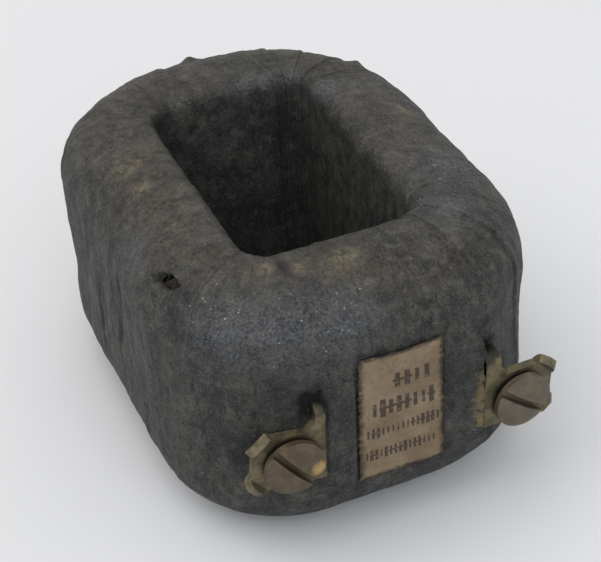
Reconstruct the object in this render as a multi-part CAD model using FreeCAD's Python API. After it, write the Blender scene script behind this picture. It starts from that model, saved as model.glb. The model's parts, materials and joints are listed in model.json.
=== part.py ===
"""Tape-wrapped coil of an alternating-current contactor, with two brass screw terminals.

Millimetres. The origin is the centre of the core window, on the plane that the coil stands on.
X runs along the terminal side, +Y away from the terminals and +Z along the core axis.
"""
import FreeCAD
import Part

import math
import os

V = FreeCAD.Vector
UP = V(0, 0, 1)
RIGHT = V(1, 0, 0)
FORWARD = V(0, -1, 0)

# Core window through the finished coil, and the height of the whole
WINDOW_WIDTH = 26.9
WINDOW_DEPTH = 43.7
WINDOW_CORNER = 4.0
BODY_HEIGHT = 45.0

# Roundings of the wrapped body
CORNER_RADII = {"front_left": 20.4, "front_right": 21.8, "back_right": 26.0, "back_left": 22.0}
RIM_RADIUS = 3.5
BOTTOM_RIM_RADIUS = 2.5
END_FLAT = 0.8

# Tapes, each half lapped: a turn of the 19 mm finish tape shows about half its width
FINISH_TAPE = 0.9
GROUND_TAPE = 0.6
LAP_STEP = 0.3
LAP_STEP_IN_WINDOW = 0.12
SIDE_LAPS = 4
END_LAPS = 2
LAP_TURN = 22.5
SURFACE_CHORDS = 5
BACKED_CHORDS = 3
RIM_CHORDS = 2

# Winding, from the window outwards: it sits looser on the sides away from the first terminal
TUBE_WALL = 1.2
BANK_COUNT = 5
BANK_BUILD = 1.7
PAPER = 0.3
COVER_SHEET = 0.4
COVER_LAP = 14.0
COVER_CLEARANCE = 0.85
LAYER_GAP = 0.05
SLACK = {"left": 0.0, "front": 0.765, "right": 2.525, "back": 3.213}
END_WASHER = 0.8
WASHER_BANKS = 3
WIRE = 0.9
CROSSOVER_NOTCH = 2.0
CROSSOVER_PITCH = 5.0
BINDING = 0.3
BINDING_GAP = 0.9

# Terminal plates: each is cut, bent and tapped, and its inner side lies under the tape
PLATE = 1.4
PLATE_REACH = 11.8
PLATE_TO_WALL = 0.424
PLATE_CLEARANCE = 0.08
PAD = 0.4
PAD_INSET = 0.5
WING_INSET = 0.9
EAR_TO_PLATE = 0.3
EAR_LENGTH = 0.9
EAR_TIP = 1.8
EAR_BEND = 55.0
BEND_RADIUS = 0.4
TANG_WIDTH = 2.6
TANG_RISE = 2.2
TANG_FLARE = 1.3
TANG_HOLE = 2.2

# Where each plate comes out of the tape, past the middle of the corner, and how it is turned.
# Its level is a share of the upright wall, and its shift is along its own length.
TERMINALS = {
    "left": {"out": -1, "past_corner": 1.45, "shift": -0.6, "level": 0.327, "lean": -3.2, "roll": 4.5},
    "right": {"out": 1, "past_corner": 5.73, "shift": 0.6, "level": 0.297, "lean": -3.1, "roll": -2.7},
}
WING = 2.4
WELT_FOOT = 1.1
WELT_COVER = 0.55
WELT_RISE = 2.5

# Binding screws
SHANK_RADIUS = 2.35
SHANK_CLEARANCE = 0.05
SCREW_OUT = 5.9
SCREW_TAIL = 0.2
HEAD_RADIUS = 4.6
HEAD_SIDE = 1.2
HEAD_DOME = 0.8
HEAD_GAP = 0.7
HEAD_EDGE = 0.3
DOME_RINGS = (0.75, 0.45, 0.15)
SLOT_WIDTH = 1.15
SLOT_DEPTH = 1.3
SLOT_TURNS = {"left": 46.5, "right": 35.0}

# Leads from the winding to the terminals
RIBBON = 0.3
RIBBON_WIDTH = 2.2
RIBBON_CLEARANCE = 0.25
STRIP = 0.15
STRIP_MARGIN = 0.9
SOLDER_RADIUS = 1.9
SOLDER_HEIGHT = 0.8
LEAD_TAIL = 2.4

# Label, and how far its edges keep from the flat front's ends and from the rounded edges
LABEL = 0.15
LABEL_CORNER = 0.5
LABEL_SIDE_GAPS = (3.95, 0.37)
LABEL_PAST_EDGES = (1.1, 0.2)
LABEL_FOOT_GAP = 0.5

# Tear in the finish tape: its place round the corner and round the top edge
TEAR_CORNER = "front_left"
TEAR_AROUND = 187.0
TEAR_UP = 48.0
TEAR_LENGTH = 4.4
TEAR_WIDTH = 2.0
TEAR_TURN = 20.0

# Sizes that follow from those above
TAPES = GROUND_TAPE + FINISH_TAPE
TUBE_IN = TAPES + LAYER_GAP
WINDING_IN = TUBE_IN + TUBE_WALL + LAYER_GAP
BANK_PITCH = BANK_BUILD + PAPER
COVER_IN = WINDING_IN + BANK_COUNT * BANK_PITCH - PAPER + LAYER_GAP
COVER_OUT = COVER_IN + COVER_SHEET
BUILD = COVER_OUT + COVER_CLEARANCE + TAPES
LEAD_ROOM = RIBBON_CLEARANCE + RIBBON + STRIP + 2 * LAYER_GAP
EDGE_RADIUS = BUILD - RIM_RADIUS - END_FLAT
BOTTOM_EDGE_RADIUS = BUILD - BOTTOM_RIM_RADIUS - END_FLAT
CORNER_SAG = max(CORNER_RADII.values()) * (1 - math.cos(math.radians(LAP_TURN / 4)))
FRONT_Y = -WINDOW_DEPTH / 2 - BUILD - SLACK["front"]
WING_BACK_Y = FRONT_Y + FINISH_TAPE - LAYER_GAP
WALL_HEIGHT = BODY_HEIGHT - EDGE_RADIUS - BOTTOM_EDGE_RADIUS
PLATE_HALF_HEIGHT = WALL_HEIGHT * PLATE_TO_WALL / 2
EAR = 2 * PLATE_HALF_HEIGHT * EAR_TO_PLATE
PLATE_Z = {side: BOTTOM_EDGE_RADIUS + WALL_HEIGHT * TERMINALS[side]["level"] for side in TERMINALS}
WELT_Z = (
    min(PLATE_Z.values()) - PLATE_HALF_HEIGHT - WELT_COVER,
    max(PLATE_Z.values()) + PLATE_HALF_HEIGHT + TANG_RISE + WELT_RISE,
)
LABEL_Z = (BOTTOM_EDGE_RADIUS - LABEL_PAST_EDGES[0], BODY_HEIGHT - EDGE_RADIUS + LABEL_PAST_EDGES[1])

CORNERS = {
    "front_left": ("left", "front", -1, -1, 180.0),
    "front_right": ("right", "front", 1, -1, 270.0),
    "back_right": ("right", "back", 1, 1, 0.0),
    "back_left": ("left", "back", -1, 1, 90.0),
}


def polar(angle):
    """Unit vector in plan at an angle in degrees."""
    turn = math.radians(angle)
    return V(math.cos(turn), math.sin(turn), 0)


def stand_off(side, grow):
    """How far a layer stands off the window on one side."""
    return grow * (1 + SLACK[side] / BUILD)


def corner_centre(corner, grow):
    """Centre and radius of a layer's corner, for a layer that stands off the window by grow."""
    side, end, sign_x, sign_y, start = CORNERS[corner]
    radius = WINDOW_CORNER + (CORNER_RADII[corner] - WINDOW_CORNER) * grow / BUILD
    half_x = WINDOW_WIDTH / 2 + stand_off(side, grow)
    half_y = WINDOW_DEPTH / 2 + stand_off(end, grow)
    return V(sign_x * (half_x - radius), sign_y * (half_y - radius), 0), radius


def chained(arcs):
    """Closed wire of arcs, each given by three points, joined by straight lines."""
    edges = []
    for index, points in enumerate(arcs):
        following = arcs[(index + 1) % len(arcs)][0]
        edges.append(Part.Arc(*points).toShape())
        edges.append(Part.LineSegment(points[-1], following).toShape())
    return Part.Wire(edges)


def prism(grow, low, high):
    """Upright solid with the plan of a layer's outside."""
    strokes = []
    for corner in CORNERS:
        centre, radius = corner_centre(corner, grow)
        start = CORNERS[corner][4]
        strokes.append([centre + polar(start + turn) * radius for turn in (0, 45, 90)])
    face = Part.Face(chained(strokes))
    face.translate(UP * low)
    return face.extrude(UP * (high - low))


def ring(inner, outer, low, high):
    """Layer of the coil between two distances from the window."""
    return prism(outer, low, high).cut(prism(inner, low - 1, high + 1))


class Station:
    """Upright plane across the coil, from a point on the window's wall to one on the outer wall."""

    def __init__(self, inner, outer, mid_lap=False):
        self.inner = inner
        self.outer = outer
        self.mid_lap = mid_lap
        self.length = (outer - inner).Length
        self.way = (outer - inner).normalize()

    def point(self, along, height):
        return self.inner + self.way * along + UP * height


def corner_station(corner, angle, mid_lap=False):
    inner_centre, inner_radius = corner_centre(corner, 0)
    outer_centre, outer_radius = corner_centre(corner, BUILD)
    inner = inner_centre + polar(angle) * inner_radius
    return Station(inner, outer_centre + polar(angle) * outer_radius, mid_lap)


def fan(corner, first, last):
    """Stations round a corner, two to a lap of tape, both ends included."""
    count = 2 * math.ceil((last - first) / LAP_TURN)
    turns = [(first + (last - first) * step / count, step % 2 == 1) for step in range(count + 1)]
    return [corner_station(corner, angle, mid_lap) for angle, mid_lap in turns]


def between(first, last, count):
    """The stations that divide a straight side into equal laps, its ends left out."""
    inner = last.inner - first.inner
    outer = last.outer - first.outer
    shares = [step / count for step in range(1, count)]
    return [Station(first.inner + inner * share, first.outer + outer * share) for share in shares]


def slit_x(side):
    """Where the terminal comes out of the tape."""
    terminal = TERMINALS[side]
    return corner_centre("front_" + side, BUILD)[0].x + terminal["out"] * terminal["past_corner"]


def angle_at(side, x):
    """Angle round the front corner of the point that lies at x."""
    centre, radius = corner_centre("front_" + side, BUILD)
    return 270 + math.degrees(math.asin((x - centre.x) / radius))


def label_edges():
    """Left and right edge of the label."""
    left = corner_centre("front_left", BUILD)[0].x + LABEL_SIDE_GAPS[0]
    return left, corner_centre("front_right", BUILD)[0].x - LABEL_SIDE_GAPS[1]


def welt_lift(side):
    """How far the tape stands off the coil where it covers the terminal plate's inner side."""
    surface_y = corner_station("front_" + side, angle_at(side, slit_x(side))).outer.y
    return surface_y - plate_face_y(side) + WELT_COVER


def plate_face_y(side):
    """Front of the terminal plate at the slit."""
    tilt = WING * math.sin(math.radians(TERMINALS[side]["lean"]))
    return WING_BACK_Y - max(tilt, 0.0) - PAD - PLATE


def lap_plan():
    """Stations round the coil, with the tape's lift just before and just after each of them."""
    left = fan("front_left", 180, angle_at("left", slit_x("left")))
    front_left = corner_station("front_left", 270)
    edge_x = label_edges()[0] - LABEL_FOOT_GAP
    inner_x = V(edge_x - front_left.inner.x, 0, 0)
    outer_x = V(edge_x - front_left.outer.x, 0, 0)
    label_edge = Station(front_left.inner + inner_x, front_left.outer + outer_x)
    front_right = corner_station("front_right", 270)
    front = [label_edge] + between(label_edge, front_right, END_LAPS) + [front_right]
    right = fan("front_right", angle_at("right", slit_x("right")), 360)
    far_right = fan("back_right", 0, 90)
    far_left = fan("back_left", 90, 180)
    stations = left + front + right
    stations += between(right[-1], far_right[0], SIDE_LAPS) + far_right
    stations += between(far_right[-1], far_left[0], END_LAPS) + far_left
    stations += between(far_left[-1], left[0], SIDE_LAPS)
    lifts = []
    for station in stations:
        lifts.append((LAP_STEP / 2, LAP_STEP / 2) if station.mid_lap else (0.0, LAP_STEP))
    first_slit = len(left) - 1
    last_slit = first_slit + len(front) + 1
    lifts[first_slit] = (0.0, welt_lift("left"))
    lifts[first_slit + 1] = (WELT_FOOT, LAP_STEP)
    lifts[last_slit - 1] = (0.0, WELT_FOOT)
    lifts[last_slit] = (welt_lift("right"), LAP_STEP)
    return stations, lifts


def section(station, inset, lift=0.0, chords=BACKED_CHORDS):
    """Points round the wrapped coil in one plane, inset from its surface or lifted off it."""
    out = min(lift, LAP_STEP)
    up = out / 2
    into = min(lift, LAP_STEP_IN_WINDOW)
    far = station.length
    rim = RIM_RADIUS - inset
    low_rim = BOTTOM_RIM_RADIUS - inset
    edge = EDGE_RADIUS - inset
    low_edge = BOTTOM_EDGE_RADIUS - inset
    low_out = station.point(far - BOTTOM_EDGE_RADIUS, BOTTOM_EDGE_RADIUS)
    high_out = station.point(far - EDGE_RADIUS, BODY_HEIGHT - EDGE_RADIUS)
    high_in = station.point(RIM_RADIUS, BODY_HEIGHT - RIM_RADIUS)
    low_in = station.point(BOTTOM_RIM_RADIUS, BOTTOM_RIM_RADIUS)
    points = rounded(station, low_out, low_edge + out, low_edge, 270, chords)
    points += [station.point(far - inset + lift, height) for height in WELT_Z]
    points += rounded(station, high_out, edge + out, edge + up, 0, chords)
    points += rounded(station, high_in, rim + into, rim + up, 90, RIM_CHORDS)
    points += rounded(station, low_in, low_rim + into, low_rim, 180, RIM_CHORDS)
    return points


def rounded(station, centre, reach, rise, start, count):
    """Points round one edge of a section: a quarter turn about a centre."""
    turns = [math.radians(start + 90 * step / count) for step in range(count + 1)]
    return [centre + station.way * (reach * math.cos(t)) + UP * (rise * math.sin(t)) for t in turns]


def closed_face(points):
    return Part.Face(Part.makePolygon(points + points[:1]))


def patch(corners):
    """Flat faces between four corners: none where they fall together, two where they twist."""
    points = []
    for corner in corners:
        if all(corner.distanceToPoint(point) > 1e-6 for point in points):
            points.append(corner)
    if len(points) < 3:
        return []
    if len(points) == 3:
        return [closed_face(points)]
    normal = (points[1] - points[0]).cross(points[2] - points[0])
    if abs(normal.dot(points[3] - points[0])) < 1e-9 * (1 + normal.Length):
        return [closed_face(points)]
    return [closed_face(points[:3]), closed_face([points[0], points[2], points[3]])]


def skin(rows):
    """Closed ring-shaped solid through rows of points, each row a section of the coil."""
    faces = []
    for index, row in enumerate(rows):
        following = rows[(index + 1) % len(rows)]
        for corner in range(len(row)):
            onward = (corner + 1) % len(row)
            faces += patch([row[corner], row[onward], following[onward], following[corner]])
    solid = Part.Solid(Part.Shell(faces))
    if solid.Volume < 0:
        solid.reverse()
    return solid


def wrapped(inset):
    """Solid inside a tape layer, taut between neighbouring laps."""
    return skin([section(station, inset) for station in lap_plan()[0]])


def lapped():
    """Solid inside the finish tape's surface, with the step at the edge of every lap."""
    rows = []
    for station, (before, after) in zip(*lap_plan()):
        rows.append(section(station, 0, before, SURFACE_CHORDS))
        if after != before:
            rows.append(section(station, 0, after, SURFACE_CHORDS))
    return skin(rows)


def headroom(grow, radius):
    """Drop below the tape's end face that a square corner needs to stay inside the rounded edge."""
    round_in = radius - TAPES
    reach = round_in - (BUILD - TAPES - CORNER_SAG - grow)
    inscribed = round_in * math.cos(math.radians(45 / BACKED_CHORDS)) - LEAD_ROOM
    if reach <= 0:
        return LEAD_ROOM
    if reach >= inscribed:
        return round_in
    return round_in - math.sqrt(inscribed ** 2 - reach ** 2)


def ceiling(grow):
    """Highest level of a layer that reaches out to grow."""
    return BODY_HEIGHT - TAPES - headroom(grow, EDGE_RADIUS)


def ground(grow):
    """Lowest level of a layer that reaches out to grow."""
    return TAPES + headroom(grow, BOTTOM_EDGE_RADIUS)


def bank_edges(bank):
    """Inner and outer distance of one bank of wire from the window."""
    inner = WINDING_IN + bank * BANK_PITCH
    return inner, inner + BANK_BUILD


WASHER_OUT = bank_edges(WASHER_BANKS - 1)[1]


def bank_levels(bank):
    """Bottom and top of one bank: the inner ones end at the washers, the outer ones step in."""
    outer = bank_edges(bank)[1]
    low = max(ground(outer), ground(WASHER_OUT) + END_WASHER + LAYER_GAP)
    high = min(ceiling(outer), ceiling(WASHER_OUT) - END_WASHER - LAYER_GAP)
    return low, high


def block(low, high):
    """Box between two opposite corners."""
    size = high - low
    return Part.makeBox(size.x, size.y, size.z, low)


def former_tube():
    low = BOTTOM_RIM_RADIUS + LAYER_GAP
    high = BODY_HEIGHT - RIM_RADIUS - LAYER_GAP
    return ring(TUBE_IN, TUBE_IN + TUBE_WALL, low, high)


def end_washer(at_top):
    low = ceiling(WASHER_OUT) - END_WASHER if at_top else ground(WASHER_OUT)
    washer = ring(WINDING_IN, WASHER_OUT, low, low + END_WASHER)
    if at_top:
        washer = washer.cut(lead_room("left", 0))
    return washer


def crossover(bank, grow):
    """Wire that passes from one bank to the next through the paper, on the left wall."""
    inner = bank_edges(bank)[1]
    high = bank_levels(bank + 1)[1]
    x = -WINDOW_WIDTH / 2 - inner - PAPER
    y = (bank - BANK_COUNT / 2) * CROSSOVER_PITCH
    low_corner = V(x - grow, y - WIRE / 2 - grow, high - WIRE - grow)
    return block(low_corner, V(x + PAPER + grow, y + WIRE / 2 + grow, high))


def winding():
    """One wire, wound in banks that step in towards the outside and are joined by crossovers."""
    banks = []
    for bank in range(BANK_COUNT):
        inner, outer = bank_edges(bank)
        banks.append(ring(inner, outer, *bank_levels(bank)))
    bridges = [crossover(bank, LAYER_GAP) for bank in range(BANK_COUNT - 1)]
    return banks[0].multiFuse(banks[1:] + bridges).removeSplitter()


def layer_paper(bank):
    """Paper round one bank, notched at its top edge where the wire crosses to the next bank."""
    inner = bank_edges(bank)[1]
    low = max(bank_levels(bank)[0], ground(inner + PAPER))
    high = min(bank_levels(bank)[1], ceiling(inner + PAPER))
    paper = ring(inner + LAYER_GAP, inner + PAPER - LAYER_GAP, low, high)
    wire = crossover(bank, LAYER_GAP).BoundBox
    side = (CROSSOVER_NOTCH - WIRE) / 2
    notch_low = V(wire.XMin - 1, wire.YMin - side, wire.ZMin - LAYER_GAP)
    return paper.cut(block(notch_low, V(wire.XMax + 1, wire.YMax + side, high + 1)))


def cover_sheet():
    """Sheet round the outermost bank, its end lapped over its start on the far side."""
    low = ground(COVER_OUT)
    high = ceiling(COVER_OUT)
    sheet = ring(COVER_IN, COVER_OUT, low, high)
    y = WINDOW_DEPTH / 2 + stand_off("back", COVER_OUT)
    lap = block(V(-COVER_LAP / 2, y, low), V(COVER_LAP / 2, y + COVER_SHEET, high))
    return sheet.fuse(lap).removeSplitter()


def binding_levels(place):
    """Bottom and top of one binding: both lie between the lower edge and the lead strips."""
    low = BOTTOM_EDGE_RADIUS + BINDING_GAP
    top = min(tang_middle(side).z for side in TERMINALS) - LEAD_TAIL - STRIP_MARGIN - BINDING_GAP
    width = (top - low - BINDING_GAP) / 2
    return (low, low + width) if place == "lower" else (top - width, top)


def cover_binding(place):
    """Band round the cover sheet, that steps out over the sheet's lap."""
    low, high = binding_levels(place)
    inner = COVER_OUT + LAYER_GAP
    band = ring(inner, inner + BINDING, low, high)
    over = V(COVER_LAP / 2 + LAYER_GAP + BINDING, 0, 0)
    y = WINDOW_DEPTH / 2 + stand_off("back", COVER_OUT)
    out_y = y + COVER_SHEET + LAYER_GAP
    step = block(V(-over.x, y + LAYER_GAP, low), V(over.x, out_y + BINDING, high))
    room = over.x - BINDING
    return band.fuse(step).cut(block(V(-room, y - LAYER_GAP, low - 1), V(room, out_y, high + 1)))


def lead_station(side):
    """Plane across the coil in which a lead runs, through the middle of the terminal's tang."""
    return corner_station("front_" + side, angle_at(side, tang_middle(side).x))


def slab(station, inset, width):
    """Slice of the coil, as thick as a width, inside a surface inset from the tape's."""
    face = closed_face(section(station, inset))
    across = station.way.cross(UP) * width
    face.translate(across * -0.5)
    return face.extrude(across)


def quarter(station, along, low, width):
    """Box round the outer upper part of a slice of the coil."""
    across = station.way.cross(UP) * width
    corners = [
        station.point(along, low),
        station.point(station.length, low),
        station.point(station.length, BODY_HEIGHT),
        station.point(along, BODY_HEIGHT),
    ]
    face = closed_face(corners)
    face.translate(across * -0.5)
    return face.extrude(across)


def band(side, inset, thickness, width, along, low):
    """Strip that follows the inside of the tape over the coil's outer upper edge."""
    station = lead_station(side)
    shell = slab(station, inset, width).cut(slab(station, inset + thickness, width + 2))
    return shell.common(quarter(station, along, low, width))


def tang_middle(side):
    """Middle of the tang's tail, where it passes back through the tape."""
    height = PLATE_HALF_HEIGHT + TANG_RISE + BEND_RADIUS + PLATE / 2
    return placed(Part.Vertex(TANG_WIDTH / 2, 0, height), side).Point


def lead_along(side, bank):
    """Where the lead stands on its bank, measured from the window along the lead's plane."""
    station = lead_station(side)
    return station.length * (bank_edges(bank)[0] + BANK_BUILD / 2) / BUILD


def lead_foot(side, bank, grow):
    """Upright end of a lead, from its bank to the tape."""
    station = lead_station(side)
    along = lead_along(side, bank)
    foot = quarter(station, along - grow, bank_levels(bank)[1], RIBBON_WIDTH + 2 * grow)
    return foot.cut(quarter(station, along + RIBBON + grow, 0, RIBBON_WIDTH + 2))


def lead_room(side, bank):
    return lead_foot(side, bank, PLATE_CLEARANCE)


def lead(side, bank):
    """Flat copper lead from the end of a bank over the coil's edge to the terminal's tang."""
    inset = TAPES + RIBBON_CLEARANCE
    station = lead_station(side)
    foot = lead_foot(side, bank, 0).common(slab(station, inset, RIBBON_WIDTH + 2))
    low = tang_middle(side).z - LEAD_TAIL
    run = band(side, inset, RIBBON, RIBBON_WIDTH, lead_along(side, bank), low)
    return run.fuse(foot).removeSplitter()


def lead_strip(side, bank):
    """Insulating strip under a lead, between it and the banks that it crosses."""
    inset = TAPES + RIBBON_CLEARANCE + RIBBON + LAYER_GAP
    along = lead_along(side, bank) + RIBBON + LAYER_GAP
    width = RIBBON_WIDTH + 2 * STRIP_MARGIN
    return band(side, inset, STRIP, width, along, tang_middle(side).z - LEAD_TAIL - STRIP_MARGIN)


def solder_blank(side, grow):
    """Disc round the joint of the lead and the tang."""
    station = lead_station(side)
    far = station.length - TAPES - RIBBON_CLEARANCE
    start = station.point(far, tang_middle(side).z)
    return Part.makeCylinder(SOLDER_RADIUS + grow, SOLDER_HEIGHT + grow, start, station.way)


def solder_joint(side):
    return solder_blank(side, 0).cut(tang_tail(side, 0))


def placed(shape, side):
    """Piece made for the right terminal, in its plate's frame, set on its side of the coil."""
    terminal = TERMINALS[side]
    moved = shape.copy()
    moved.rotate(V(0, 0, 0), FORWARD, terminal["roll"])
    if terminal["out"] < 0:
        moved = moved.mirror(V(0, 0, 0), RIGHT)
    moved.rotate(V(0, 0, 0), UP, -terminal["out"] * terminal["lean"])
    x = slit_x(side) + terminal["out"] * terminal["shift"]
    moved.translate(V(x, plate_face_y(side) + PLATE, PLATE_Z[side]))
    return moved


def upright(points, thickness):
    """Flat piece with an outline in x and z, from the plane y = 0 forward."""
    corners = [V(x, 0, z) for x, z in points]
    return closed_face(corners).extrude(FORWARD * thickness)


def plate_outline(grow=0.0):
    """Plate with its wing under the tape, two cut corners and the root of the tang."""
    half = PLATE_HALF_HEIGHT + grow
    reach = PLATE_REACH + grow
    wing_half = PLATE_HALF_HEIGHT - WING_INSET + grow
    rise = PLATE_HALF_HEIGHT + TANG_RISE
    return [
        (-WING - grow, -wing_half),
        (-grow, -wing_half),
        (-grow, -half),
        (reach - EAR, -half),
        (reach, EAR - half),
        (reach, half - EAR),
        (reach - EAR, half),
        (TANG_WIDTH + TANG_FLARE + grow, half),
        (TANG_WIDTH + grow, PLATE_HALF_HEIGHT + TANG_FLARE),
        (TANG_WIDTH + grow, rise),
        (-grow, rise),
        (-grow, wing_half),
        (-WING - grow, wing_half),
    ]


def bent(root, corners, axis_at, axis, angle, thickness_way):
    """Flap: its root face turned through the bend, and its flat part beyond the bend."""
    elbow = root.revolve(axis_at, axis, angle)
    flap = closed_face(corners).extrude(thickness_way)
    flap.rotate(axis_at, axis, angle)
    return elbow.fuse(flap)


def ear(up):
    """Corner of the plate bent forward, which keeps a wire under the screw's head."""
    out_way = V(1, 0, up).normalize()
    along = V(1, 0, -up).normalize()
    half = EAR / math.sqrt(2)
    middle = V(PLATE_REACH - EAR / 2, 0, up * (PLATE_HALF_HEIGHT - EAR / 2))
    ends = [middle - along * half, middle + along * half]
    root = closed_face([ends[0], ends[1], ends[1] + FORWARD * PLATE, ends[0] + FORWARD * PLATE])
    tips = [
        middle + along * EAR_TIP / 2 + out_way * EAR_LENGTH,
        middle - along * EAR_TIP / 2 + out_way * EAR_LENGTH,
    ]
    hinge = middle + FORWARD * (PLATE + BEND_RADIUS)
    return bent(root, ends + tips, hinge, along, up * EAR_BEND, FORWARD * PLATE)


def tang_bend():
    """Tang turned back through a right angle at its top."""
    rise = PLATE_HALF_HEIGHT + TANG_RISE
    root = upright([(0, rise), (TANG_WIDTH, rise), (TANG_WIDTH, rise + 1), (0, rise + 1)], PLATE)
    face = [f for f in root.Faces if abs(f.CenterOfMass.z - rise) < 1e-6][0]
    return face.revolve(V(0, BEND_RADIUS, rise), RIGHT, -90)


def tail_length(side):
    """From the bend back to just short of the lead's outer face, which may stand aslant."""
    station = lead_station(side)
    joint = station.point(station.length - TAPES - RIBBON_CLEARANCE, 0)
    slant = RIBBON_WIDTH / 2 * abs(station.way.x / station.way.y)
    back = joint.y - (plate_face_y(side) + PLATE + BEND_RADIUS)
    return back - RIBBON_CLEARANCE - slant


def tail_blank(side, grow):
    """Straight end of the tang behind its bend, in the plate's frame."""
    low = PLATE_HALF_HEIGHT + TANG_RISE + BEND_RADIUS
    return block(
        V(-grow, BEND_RADIUS - grow, low - grow),
        V(TANG_WIDTH + grow, BEND_RADIUS + tail_length(side), low + PLATE + grow),
    )


def tang_tail(side, grow):
    return placed(tail_blank(side, grow), side)


def terminal_plate(side):
    """Plate with its tapped hole, two ears bent forward and the tang that goes back to the lead."""
    body = upright(plate_outline(), PLATE)
    body = body.multiFuse([ear(1), ear(-1), tang_bend(), tail_blank(side, 0)])
    hole = Part.makeCylinder(SHANK_RADIUS + SHANK_CLEARANCE, PLATE + 2, V(SCREW_OUT, 1, 0), FORWARD)
    return placed(body.removeSplitter().cut(hole), side)


def terminal_pad(side):
    """Thin fibre pad behind the plate."""
    half = PLATE_HALF_HEIGHT - PAD_INSET
    wing_half = half - WING_INSET
    reach = PLATE_REACH - PAD_INSET
    pad = upright(
        [
            (-WING + PAD_INSET, -wing_half),
            (0, -wing_half),
            (0, -half),
            (reach - EAR, -half),
            (reach, EAR - half),
            (reach, half - EAR),
            (reach - EAR, half),
            (0, half),
            (0, wing_half),
            (-WING + PAD_INSET, wing_half),
        ],
        PAD,
    )
    pad.translate(-FORWARD * PAD)
    hole = Part.makeCylinder(SHANK_RADIUS + PLATE_CLEARANCE, PAD + 2, V(SCREW_OUT, PAD + 1, 0), FORWARD)
    return placed(pad.cut(hole), side)


def plate_room(side):
    """Room that the tape leaves for the plate, its pad and its tang."""
    room = upright(plate_outline(PLATE_CLEARANCE), PLATE + PAD + 2 * PLATE_CLEARANCE)
    room.translate(-FORWARD * (PAD + PLATE_CLEARANCE))
    rise = PLATE_HALF_HEIGHT + TANG_RISE
    depth = BEND_RADIUS + tail_length(side) + 1
    hole = block(
        V(-PLATE_CLEARANCE, -PLATE - PLATE_CLEARANCE, rise - PLATE_CLEARANCE),
        V(TANG_WIDTH + PLATE_CLEARANCE, depth, rise + BEND_RADIUS + PLATE + TANG_HOLE),
    )
    reach = PLATE + PAD + SCREW_TAIL + PLATE_CLEARANCE
    start = V(SCREW_OUT, -PLATE, 0)
    tail = Part.makeCylinder(SHANK_RADIUS + PLATE_CLEARANCE, reach, start, -FORWARD)
    return placed(room.multiFuse([hole, tail]), side)


def terminal_screw(side):
    """Slotted binding-head screw, backed off a little so that a wire would go under its head."""
    dome_radius = (HEAD_RADIUS ** 2 + HEAD_DOME ** 2) / (2 * HEAD_DOME)
    under = PLATE + HEAD_GAP
    top = under + HEAD_SIDE
    points = [
        V(0, PAD + SCREW_TAIL, 0),
        V(SHANK_RADIUS - HEAD_EDGE, PAD + SCREW_TAIL, 0),
        V(SHANK_RADIUS, PAD + SCREW_TAIL - HEAD_EDGE, 0),
        V(SHANK_RADIUS, -under, 0),
        V(HEAD_RADIUS - HEAD_EDGE, -under, 0),
        V(HEAD_RADIUS, -under - HEAD_EDGE, 0),
        V(HEAD_RADIUS, -top, 0),
    ]
    crown = -top - HEAD_DOME
    lean = math.asin(HEAD_RADIUS / dome_radius)
    for share in DOME_RINGS:
        turn = lean * share
        points.append(V(dome_radius * math.sin(turn), crown + dome_radius * (1 - math.cos(turn)), 0))
    points.append(V(0, points[-1].y, 0))
    screw = closed_face(points).revolve(V(0, 0, 0), V(0, 1, 0), 360)
    depth = SLOT_DEPTH + 1
    floor = -top - HEAD_DOME + SLOT_DEPTH
    half = V(HEAD_RADIUS + 1, 0, SLOT_WIDTH / 2)
    slot = block(V(0, floor - depth, 0) - half, V(0, floor, 0) + half)
    slot.rotate(V(0, 0, 0), FORWARD, -TERMINALS[side]["out"] * SLOT_TURNS[side])
    screw = screw.cut(slot)
    screw.translate(V(SCREW_OUT, 0, 0))
    return placed(screw, side)


def label():
    """Plain paper label that lies on the laps between the two terminals."""
    y = FRONT_Y - LAP_STEP - LAYER_GAP
    left, right = label_edges()
    low, high = LABEL_Z
    cut = LABEL_CORNER
    sheet = upright(
        [
            (left + cut, low),
            (right - cut, low),
            (right, low + cut),
            (right, high - cut),
            (right - cut, high),
            (left + cut, high),
            (left, high - cut),
            (left, low + cut),
        ],
        LABEL,
    )
    sheet.translate(V(0, y, 0))
    return sheet


def tear():
    """Lens-shaped opening through the finish tape, on the top edge of one corner."""
    station = corner_station(TEAR_CORNER, TEAR_AROUND)
    turn = math.radians(TEAR_UP)
    normal = station.way * math.cos(turn) + UP * math.sin(turn)
    centre = station.point(station.length - EDGE_RADIUS, BODY_HEIGHT - EDGE_RADIUS) + normal * EDGE_RADIUS
    half = TEAR_LENGTH / 2
    bulge = TEAR_WIDTH / 2
    upper = Part.Arc(V(-half, 0, 0), V(0, bulge, 0), V(half, 0, 0)).toShape()
    lower = Part.Arc(V(half, 0, 0), V(0, -bulge, 0), V(-half, 0, 0)).toShape()
    cutter = Part.Face(Part.Wire([upper, lower])).extrude(UP * 2 * TAPES)
    cutter.translate(UP * -TAPES)
    cutter.rotate(V(0, 0, 0), UP, TEAR_TURN)
    cutter.Placement = FreeCAD.Placement(centre, FreeCAD.Rotation(UP, normal)) * cutter.Placement
    return cutter


def wraps():
    """Finish tape and ground tape, opened where the terminals pass and where the tape is torn."""
    surface = lapped()
    under_finish = wrapped(FINISH_TAPE)
    under_ground = wrapped(TAPES)
    rooms = [plate_room(side) for side in TERMINALS]
    joints = [solder_blank(side, PLATE_CLEARANCE) for side in TERMINALS]
    finish = surface.cut([under_finish] + rooms + joints + [tear()])
    ground_tape = under_finish.cut([under_ground] + rooms + joints)
    return finish, ground_tape


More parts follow.
